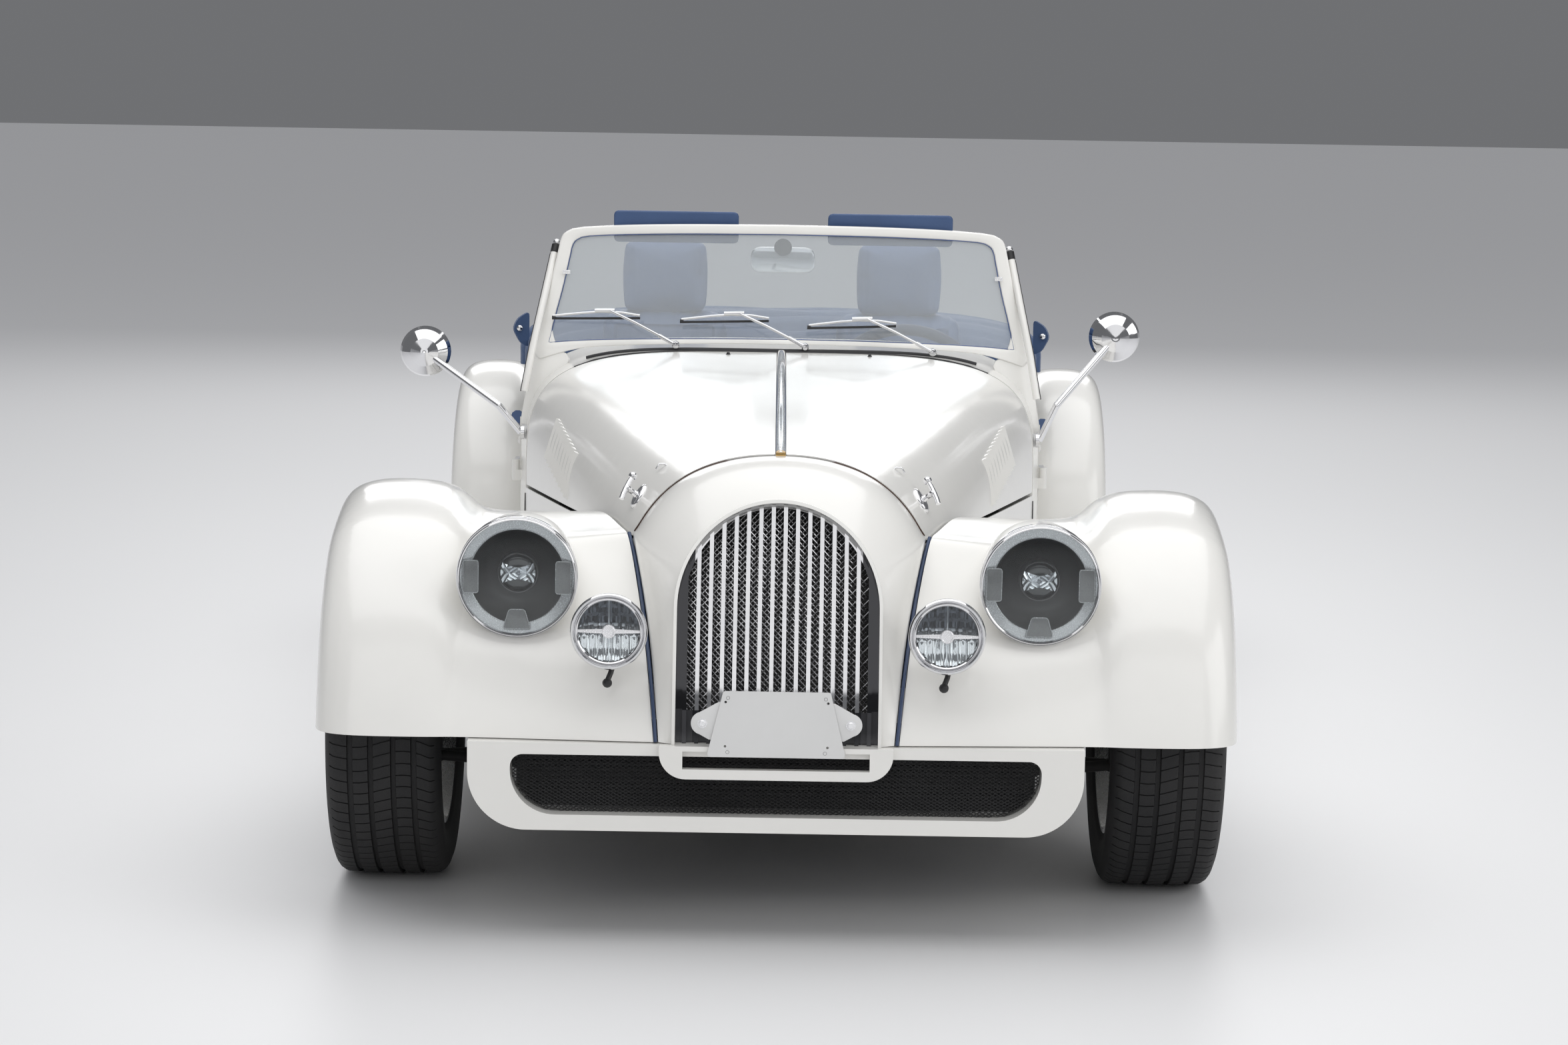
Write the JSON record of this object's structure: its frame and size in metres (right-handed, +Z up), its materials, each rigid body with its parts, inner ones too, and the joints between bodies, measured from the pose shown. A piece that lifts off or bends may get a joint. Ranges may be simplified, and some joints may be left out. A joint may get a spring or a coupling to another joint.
{
  "type": "roadster convertible",
  "caption": "Open two-seat roadster with separate wings, centre-hinged bonnet, arched grille, upright windscreen and folded blue hood.",
  "frame": {"origin": "on the ground below the middle of the car's length and width", "axes": "+X to the car's left, +Y to its tail, +Z up"},
  "size_m": [1.765, 3.89, 1.2634],
  "materials": {
    "paint": "gloss",
    "chrome": "polished",
    "dark_metal": "satin",
    "engine_iron": "rough",
    "steel": "brushed",
    "alloy": "satin",
    "rubber": "matte",
    "glass": "clear",
    "leather": "satin",
    "fabric": "matte",
    "piping": "gloss",
    "black_plastic": "matte",
    "red_lens": "gloss"
  },
  "bodies": {
    "body": {"bonnet_strip": "chrome", "chassis": "dark_metal", "dashboard": "leather", "engine": "engine_iron", "exhaust": "steel", "floor": "dark_metal", "fog_lamps": "chrome", "folded_hood": "fabric", "foot_boxes": "dark_metal", "front_suspension": "dark_metal", "front_valance": "paint", "front_wings": "paint", "gearbox": "engine_iron", "grille_bars": "chrome", "grille_mesh": "chrome", "headlamp_lenses": "glass", "headlamps": "chrome", "interior_mirror": "black_plastic", "plate_bracket": "paint", "radiator": "dark_metal", "radiator_cowl": "paint", "rear_axle": "dark_metal", "rear_body": "paint", "rear_wings": "paint", "running_boards": "paint", "scuttle": "paint", "seats": "leather", "side_panels": "paint", "sun_visors": "leather", "tail_lamps": "red_lens", "tunnel": "dark_metal", "valance_mesh": "black_plastic", "windscreen_frame": "paint", "windscreen_glass": "glass", "wing_mirrors": "chrome", "wing_piping": "piping", "wipers": "chrome"},
    "bonnet_left": {"bonnet_left": "paint"},
    "bonnet_right": {"bonnet_right": "paint"},
    "door_left": {"door_left": "paint"},
    "door_right": {"door_right": "paint"},
    "knuckle_left": {"knuckle_left": "dark_metal"},
    "knuckle_right": {"knuckle_right": "dark_metal"},
    "wheel_front_left": {"tyre_front_left": "rubber", "rim_front_left": "alloy"},
    "wheel_front_right": {"tyre_front_right": "rubber", "rim_front_right": "alloy"},
    "wheel_rear_left": {"tyre_rear_left": "rubber", "rim_rear_left": "alloy"},
    "wheel_rear_right": {"tyre_rear_right": "rubber", "rim_rear_right": "alloy"},
    "steering_wheel": {"steering_wheel": "leather"},
    "steering_rack": {"steering_rack": "dark_metal"}
  },
  "joints": [
    {"name": "bonnet_left_hinge", "type": "hinge", "parent": "body", "child": "bonnet_left", "pos_m": [0, -1.62, 0.899], "axis": [0, -0.9991, -0.0418], "range_deg": [0, 55]},
    {"name": "bonnet_right_hinge", "type": "hinge", "parent": "body", "child": "bonnet_right", "pos_m": [0, -1.62, 0.899], "axis": [0, 0.9991, 0.0418], "range_deg": [0, 55]},
    {"name": "door_left_hinge", "type": "hinge", "parent": "body", "child": "door_left", "pos_m": [0.6233, -0.02, 0.5], "axis": [0, 0, -1], "range_deg": [0, 65]},
    {"name": "door_right_hinge", "type": "hinge", "parent": "body", "child": "door_right", "pos_m": [-0.6233, -0.02, 0.5], "axis": [0, 0, 1], "range_deg": [0, 65]},
    {"name": "steer_left", "type": "hinge", "parent": "body", "child": "knuckle_left", "pos_m": [0.69, -1.345, 0.33], "axis": [0, 0, 1], "range_deg": [-30, 30]},
    {"name": "steer_right", "type": "hinge", "parent": "body", "child": "knuckle_right", "pos_m": [-0.69, -1.345, 0.33], "axis": [0, 0, 1], "range_deg": [-30, 30]},
    {"name": "front_left_spin", "type": "hinge", "parent": "knuckle_left", "child": "wheel_front_left", "pos_m": [0.765, -1.345, 0.33], "axis": [1, 0, 0], "continuous": true},
    {"name": "front_right_spin", "type": "hinge", "parent": "knuckle_right", "child": "wheel_front_right", "pos_m": [-0.765, -1.345, 0.33], "axis": [1, 0, 0], "continuous": true},
    {"name": "rear_left_spin", "type": "hinge", "parent": "body", "child": "wheel_rear_left", "pos_m": [0.733, 1.175, 0.33], "axis": [1, 0, 0], "continuous": true},
    {"name": "rear_right_spin", "type": "hinge", "parent": "body", "child": "wheel_rear_right", "pos_m": [-0.733, 1.175, 0.33], "axis": [1, 0, 0], "continuous": true},
    {"name": "steering_wheel_turn", "type": "hinge", "parent": "body", "child": "steering_wheel", "pos_m": [0.293, 0.13, 0.812], "axis": [0, 0.9135, 0.4067], "range_deg": [-450, 450]},
    {"name": "rack_slide", "type": "slide", "parent": "body", "child": "steering_rack", "axis": [1, 0, 0], "range_m": [-0.0576, 0.0576]}
  ],
  "couplings": [
    {"joint": "steer_right", "follows": "steer_left", "ratio": 1},
    {"joint": "steering_wheel_turn", "follows": "steer_left", "ratio": 15},
    {"joint": "rack_slide", "follows": "steer_left", "m_per_rad": 0.11}
  ]
}
